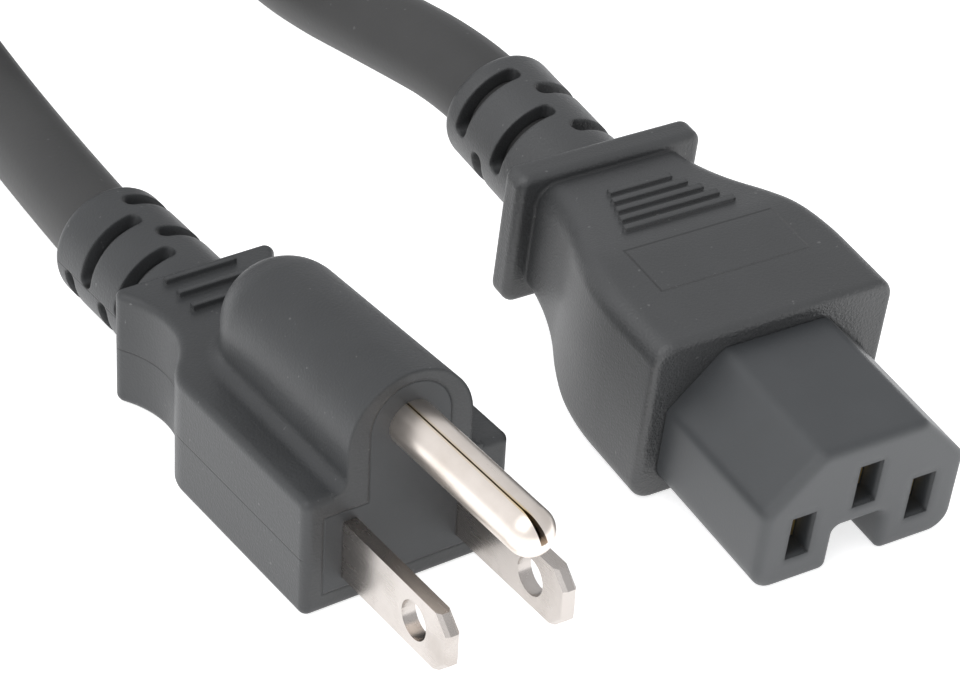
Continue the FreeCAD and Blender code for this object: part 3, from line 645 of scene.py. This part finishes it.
pin_nickel, colour, rough, relief = nickel("plated_pin", roughness=0.31, bright=PIN_PLATE_LIT, dull=PIN_DULL_LIT)
aside = abs(pin_nickel.along(SEAM_WAY, (0, 0, PIN_HEIGHT)))
above = pin_nickel.along(SEAM_UP, (0, 0, PIN_HEIGHT)).between(*ABOVE_BAND)
to_tip = pin_nickel.along(ALONG_Y, (0, PIN_TIP, 0))
bare = (1 - aside.between(*BARE_BAND)) * above
bare = bare * (BARE_ALONG + BARE_AT_TIP * (1 - to_tip.between(*TIP_BAND)))
colour = pin_nickel.mixed(bare, colour, BRASS)
pin_nickel.surface(Base_Color=colour, Metallic=1.0, Roughness=rough, Normal=relief)
dress(pin_nickel.material, "ground_pin")

# %% [markdown]
# Hidden metal and wires
#
# The contacts sit deep in their slots, and the wires are inside the mouldings. They still have their true
# finishes, because a section through the model shows them. One function makes them all, with one set of
# values for bare metal and one for the wires' sleeves.

# %% Contacts and wires
COPPER = (0.72, 0.36, 0.20, 1)
STAIN_BAND = (0.3, 0.8)
BARE_METAL = {"stain_mm": 1.5, "detail": 3.0, "darkest": 0.7, "unevenness": 0.2, "metallic": 1.0}
SLEEVE = {"stain_mm": 3.0, "detail": 2.0, "darkest": 0.85, "unevenness": 0.1, "metallic": 0.0}
SLEEVE_COLOURS = {
    "insulation_white": (("neutral",), (0.80, 0.79, 0.76, 1)),
    "insulation_black": (("line",), grey(0.03)),
    "insulation_green": (("ground", "earth"), (0.04, 0.26, 0.09, 1)),
}


def stained(name, colour, roughness, stain_mm, detail, darkest, unevenness, metallic):
    finish = Finish(name)
    stain = finish.noise(stain_mm, detail)
    darker = tuple(c * darkest for c in colour[:3]) + (1,)
    return finish.surface(
        Base_Color=finish.mixed(stain.between(*STAIN_BAND), colour, darker), Metallic=metallic,
        Roughness=roughness + stain.swing(unevenness),
    )


contacts = [name for name in nodes if name.endswith("_contact")]
strands = [name for name in nodes if name.endswith("_strands")]
sleeves = [name for name in nodes if name.endswith("_insulation")]
dress(stained("contact_brass", BRASS, roughness=0.35, **BARE_METAL), *contacts)
dress(stained("copper", COPPER, roughness=0.4, **BARE_METAL), *strands)
for name, (wires, colour) in SLEEVE_COLOURS.items():
    wanted = [sleeve for sleeve in sleeves if sleeve.split("_")[1] in wires]
    dress(stained(name, colour, roughness=0.45, **SLEEVE), *wanted)

# %% [markdown]
# Straps
#
# Two woven straps hold the hank. In a plain weave the threads go over and under by turns, so the height of
# the cloth is one wave along the strap times one wave across it. A strap runs along X on top and along Z
# down its sides, and the sum of both measures the way along it everywhere.

# %% Straps
STRAP_MIDDLE = (NEAR_FOLD + FAR_FOLD) / 2
STRAP_WAY = (1, 0, 1)
THREAD_PITCH = 0.9
THREAD_UNDER, THREAD_OVER, SELVEDGE = grey(0.012), grey(0.035), grey(0.05)
SELVEDGE_BAND, SELVEDGE_SHARE = (5.2, 5.8), 0.6
FLUFF_MM, FLUFF_SHARE, FLUFF_SWING = 0.3, 0.3, 0.1
WEAVE_DEPTH, WEAVE_STRENGTH = 0.25, 0.9
STRAP_ROUGHNESS = 0.86

strap = Finish("tie_strap")
per_thread = math.pi / THREAD_PITCH
lengthwise = (strap.along(STRAP_WAY) * per_thread).sine()
crosswise = (strap.along(ALONG_Y) * per_thread).sine()
weave = lengthwise * crosswise
fluff = strap.noise(FLUFF_MM, detail=3.0)
selvedge = abs(strap.along(ALONG_Y, (0, STRAP_MIDDLE, 0))).between(*SELVEDGE_BAND)
colour = strap.mixed(weave.between(-1, 1), THREAD_UNDER, THREAD_OVER)
colour = strap.mixed(selvedge * SELVEDGE_SHARE, colour, SELVEDGE)
relief = strap.bump(abs(weave) + fluff * FLUFF_SHARE, WEAVE_DEPTH, WEAVE_STRENGTH)
strap.surface(Base_Color=colour, Roughness=STRAP_ROUGHNESS + fluff.swing(FLUFF_SWING), Normal=relief)
dress(strap.material, "cord_tie_left", "cord_tie_right")

# %% [markdown]
# The table
#
# The picture is a white table under a white sky, as in a light tent. The table is lit from below too, as a
# product table is, which thins the shadows and lights the sides that face down to it. A lamp under a sheet
# of milk glass would do the same with more noise, so the paper itself glows.

# %% Table
TABLE_SIZE = 4.0
TABLE_GLOW = 0.70
PAPER_GREY, PAPER_WHITE = grey(0.88), grey(0.90)
PAPER_CLOUD, PAPER_ROUGHNESS = 40.0, 0.9

table_mesh = bpy.data.meshes.new("table")
half = TABLE_SIZE / 2
corners = [(-half, -half, 0), (half, -half, 0), (half, half, 0), (-half, half, 0)]
table_mesh.from_pydata(corners, [], [(0, 1, 2, 3)])
table = bpy.data.objects.new("table", table_mesh)
scene.collection.objects.link(table)
paper = Finish("table_white")
paper.surface(
    Base_Color=paper.mixed(paper.noise(PAPER_CLOUD), PAPER_GREY, PAPER_WHITE), Roughness=PAPER_ROUGHNESS,
    Emission_Color=grey(1.0), Emission_Strength=TABLE_GLOW,
)
table_mesh.materials.append(paper.material)
print("table:", TABLE_SIZE, "m square")

# %% [markdown]
# The sky
#
# Black plastic shows what it mirrors, so the sky is brighter on the left, where the sides look, than on the
# right, which the tops mirror. Many lamps could give that slope, but one graded background has no edges that
# a glossy dome would show.

# %% Sky
SKY_COLOUR = (0.97, 0.98, 1.0, 1)
SKY_LEVEL, SKY_FALL = 0.80, 0.18


class Surround(Finish):
    """The sky round the table, built with the same node method as a finish."""

    def __init__(self, name):
        self.world = bpy.data.worlds.new(name)
        self.world.use_nodes = True
        self.tree = self.world.node_tree
        self.tree.nodes.clear()


surround = Surround("white_surround")
rightward = surround.share_of(surround.node("ShaderNodeTexCoord", output="Generated"), ALONG_X)
sky = surround.node(
    "ShaderNodeBackground", None, {"Color": SKY_COLOUR, "Strength": SKY_LEVEL - rightward * SKY_FALL}
)
surround.node("ShaderNodeOutputWorld", None, {"Surface": sky})
scene.world = surround.world
print("sky from", round(SKY_LEVEL + SKY_FALL, 2), "on the left to", round(SKY_LEVEL - SKY_FALL, 2))

# %% [markdown]
# The soft box
#
# One broad soft box, high on the left, reaches over the plug to the connector's side. It is weak, because
# the sky does most of the work. The Standard view keeps white paper white.

# %% Soft box
BOX_PLACE = Vector((-0.70, -0.10, 1.0))
BOX_TARGET = Vector((0.02, 0.0, 0.01))
BOX_SIZE, BOX_WATTS = 1.2, 6

light = bpy.data.lights.new("left_box", "AREA")
light.shape = "SQUARE"
light.size = BOX_SIZE
light.energy = BOX_WATTS
box = bpy.data.objects.new("left_box", light)
scene.collection.objects.link(box)
box.location = BOX_PLACE
box.rotation_euler = (BOX_TARGET - BOX_PLACE).to_track_quat("-Z", "Y").to_euler()
scene.view_settings.view_transform = "Standard"
print("soft box:", BOX_SIZE, "m wide,", BOX_WATTS, "W")
